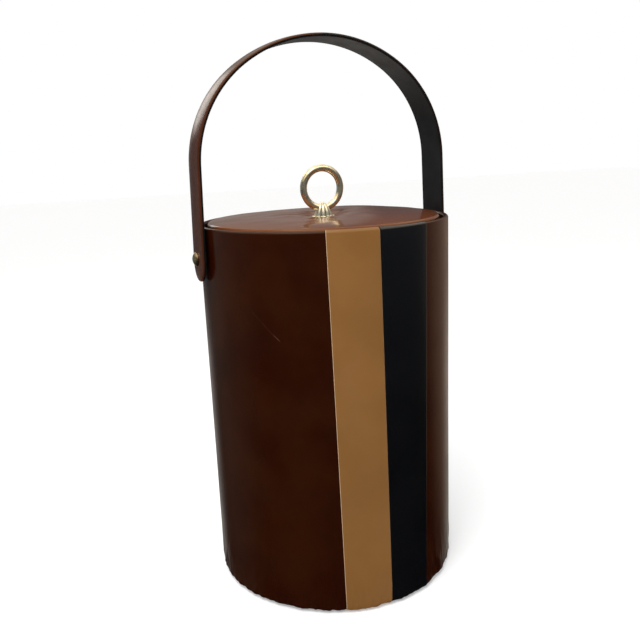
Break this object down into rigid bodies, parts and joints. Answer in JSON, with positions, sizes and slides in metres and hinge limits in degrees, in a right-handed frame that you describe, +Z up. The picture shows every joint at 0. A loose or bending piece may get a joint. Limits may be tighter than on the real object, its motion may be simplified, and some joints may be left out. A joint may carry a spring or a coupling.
{
  "type": "ice bucket",
  "caption": "Tall insulated ice bucket: vinyl-covered drum with two stripes, padded lift-off lid with a ring knob, and a swinging strap bail handle.",
  "frame": {"origin": "centre of the base, on the surface that the bucket stands on", "axes": "+Z up, the handle's pivot axis along X, the two stripes facing -Y"},
  "size_m": [0.2216, 0.2038, 0.4412],
  "materials": {
    "shell_fibreboard": "matt",
    "brown_vinyl": "glossy",
    "tan_vinyl": "glossy",
    "black_vinyl": "glossy",
    "hardboard": "matt",
    "staple_steel": "plain",
    "base_felt": "matt",
    "insulation_foam": "matt expanded foam",
    "liner_plastic": "semi-gloss",
    "lid_vinyl": "glossy",
    "soft_padding": "matt",
    "polished_brass": "polished",
    "aged_brass": "worn",
    "fixing_steel": "zinc plated",
    "spring_steel": "blued",
    "handle_leatherette": "grained, glossy",
    "lining_vinyl": "satin",
    "washer_plastic": "matt"
  },
  "bodies": {
    "bucket": {"outer_shell": "shell_fibreboard", "body_cover": "brown_vinyl", "tan_stripe": "tan_vinyl", "black_stripe": "black_vinyl", "base_board": "hardboard", "hem_staples": "staple_steel", "base_pad": "base_felt", "insulation_base": "insulation_foam", "insulation_sleeve": "insulation_foam", "liner": "liner_plastic", "left_rivet": "aged_brass", "right_rivet": "aged_brass", "left_spacer_washer": "washer_plastic", "right_spacer_washer": "washer_plastic", "left_backing_washer": "fixing_steel", "right_backing_washer": "fixing_steel"},
    "handle": {"handle_cover": "handle_leatherette", "handle_padding": "soft_padding", "handle_core": "spring_steel", "handle_lining": "lining_vinyl", "left_eyelet": "aged_brass", "right_eyelet": "aged_brass"},
    "lid": {"lid_cover": "lid_vinyl", "lid_padding": "soft_padding", "lid_panel": "hardboard", "lid_liner": "liner_plastic", "lid_insulation": "insulation_foam", "knob_base": "polished_brass", "knob_clasp": "polished_brass", "knob_ring": "polished_brass", "knob_screw": "fixing_steel", "knob_washer": "fixing_steel"}
  },
  "joints": [
    {"name": "handle_swing", "type": "hinge", "parent": "bucket", "child": "handle", "pos_m": [0, 0, 0.2748], "axis": [1, 0, 0], "range_deg": [-133, 133]},
    {"name": "lid_lift", "type": "slide", "parent": "bucket", "child": "lid", "axis": [0, 0, 1], "range_m": [0, 0.06]}
  ]
}
